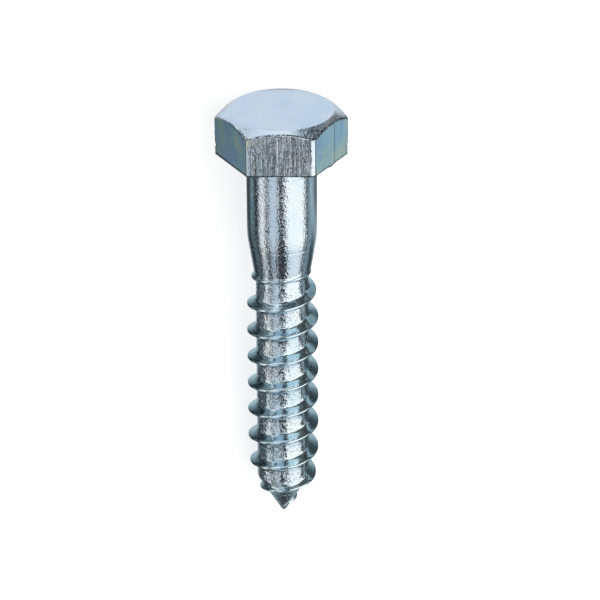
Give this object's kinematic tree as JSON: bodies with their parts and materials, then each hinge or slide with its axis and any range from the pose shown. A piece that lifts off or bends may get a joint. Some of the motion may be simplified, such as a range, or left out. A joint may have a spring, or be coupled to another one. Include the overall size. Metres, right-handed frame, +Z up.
{
  "type": "hex head wood screw",
  "caption": "Hexagon-head wood screw with a chamfered head, a plain shank, a necked-down core, a coarse right-hand thread and a gimlet point.",
  "frame": {"origin": "centre of the footprint on the surface that the screw lies on", "axes": "lying at rest: +Y towards the head, -Y towards the point, +Z up, +X across one pair of head corners; the screw's own axis rises 3.74 degrees towards the head"},
  "size_m": [0.022, 0.0756, 0.0194],
  "materials": {
    "zinc_plated_steel": "bright blue-white zinc plating over forged and rolled carbon steel"
  },
  "bodies": {
    "root": {"hex_head_wood_screw": "zinc_plated_steel"}
  },
  "joints": []
}
